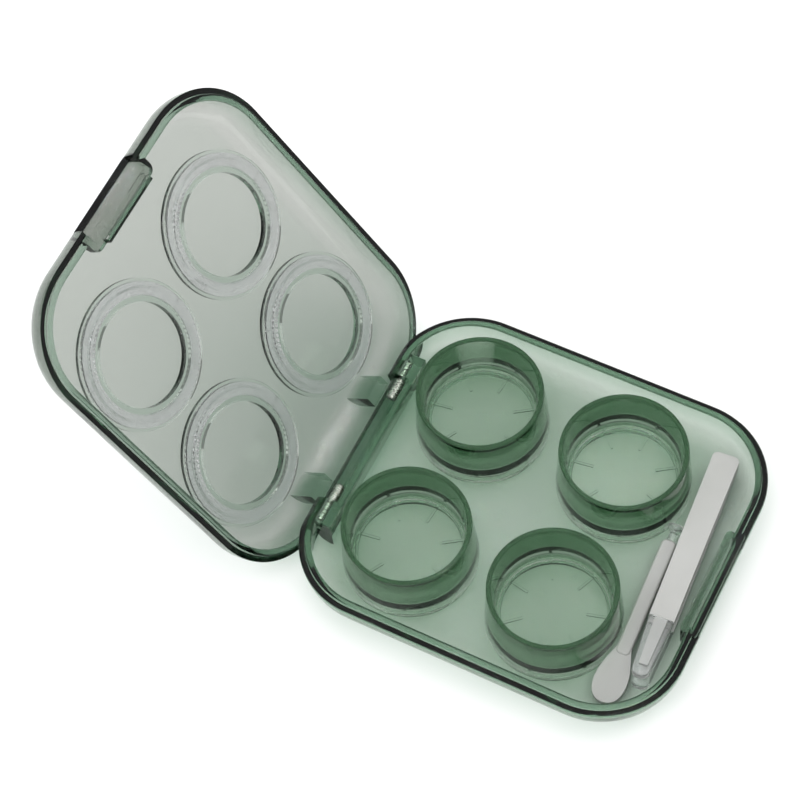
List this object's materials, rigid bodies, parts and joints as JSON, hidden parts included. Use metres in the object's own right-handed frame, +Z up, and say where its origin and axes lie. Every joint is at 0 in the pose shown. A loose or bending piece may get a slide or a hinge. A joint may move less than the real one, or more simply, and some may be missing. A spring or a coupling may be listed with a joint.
{
  "type": "contact lens case",
  "caption": "Flip-open square travel case of translucent green plastic: lift-out round lens cups, a lid with silicone seal rings, and a bay with tweezers and an inserter stick.",
  "frame": {"origin": "centre of the flat underside of the base", "axes": "+Z up out of the base, +Y towards the hinge, -Y towards the latch, X along the hinge"},
  "size_m": [0.0724, 0.1316, 0.0686],
  "materials": {
    "shell_green": "glossy, translucent",
    "cup_green": "glossy, translucent",
    "seal_silicone": "satin, translucent",
    "pin_steel": "ground",
    "milky_plastic": "semi-gloss, milky",
    "soft_silicone": "satin, translucent"
  },
  "bodies": {
    "base": {"base_shell": "shell_green"},
    "lid": {"lid_shell": "shell_green", "hinge_pin_left": "pin_steel", "hinge_pin_right": "pin_steel", "lid_seal_rear_right": "seal_silicone", "lid_seal_front_right": "seal_silicone", "lid_seal_rear_left": "seal_silicone", "lid_seal_front_left": "seal_silicone"},
    "cup_rear_right": {"lens_cup_rear_right": "cup_green"},
    "cup_front_right": {"lens_cup_front_right": "cup_green"},
    "cup_rear_left": {"lens_cup_rear_left": "cup_green"},
    "cup_front_left": {"lens_cup_front_left": "cup_green"},
    "tweezers": {"tweezer_arm_lower": "milky_plastic", "tweezer_tip_lower": "soft_silicone"},
    "tweezer_top_arm": {"tweezer_arm_upper": "milky_plastic", "tweezer_tip_upper": "soft_silicone"},
    "inserter": {"inserter_handle": "milky_plastic", "inserter_suction_cup": "soft_silicone"}
  },
  "joints": [
    {"name": "lid_hinge", "type": "hinge", "parent": "base", "child": "lid", "pos_m": [0, 0.038, 0.0065], "axis": [-1, 0, 0], "range_deg": [-125.5, 0]},
    {"name": "cup_rear_right_lift", "type": "slide", "parent": "base", "child": "cup_rear_right", "axis": [0, 0, 1], "range_m": [0, 0.03]},
    {"name": "cup_front_right_lift", "type": "slide", "parent": "base", "child": "cup_front_right", "axis": [0, 0, 1], "range_m": [0, 0.03]},
    {"name": "cup_rear_left_lift", "type": "slide", "parent": "base", "child": "cup_rear_left", "axis": [0, 0, 1], "range_m": [0, 0.03]},
    {"name": "cup_front_left_lift", "type": "slide", "parent": "base", "child": "cup_front_left", "axis": [0, 0, 1], "range_m": [0, 0.03]},
    {"name": "tweezers_lift", "type": "slide", "parent": "base", "child": "tweezers", "axis": [0, 0, 1], "range_m": [0, 0.03]},
    {"name": "tweezers_squeeze", "type": "hinge", "parent": "tweezers", "child": "tweezer_top_arm", "pos_m": [0.02457, -0.02993, 0.00517], "axis": [0.0802, -0.9968, 0], "range_deg": [0, 3.5], "stiffness_Nm_per_rad": 0.05},
    {"name": "inserter_lift", "type": "slide", "parent": "base", "child": "inserter", "axis": [0, 0, 1], "range_m": [0, 0.03]}
  ]
}
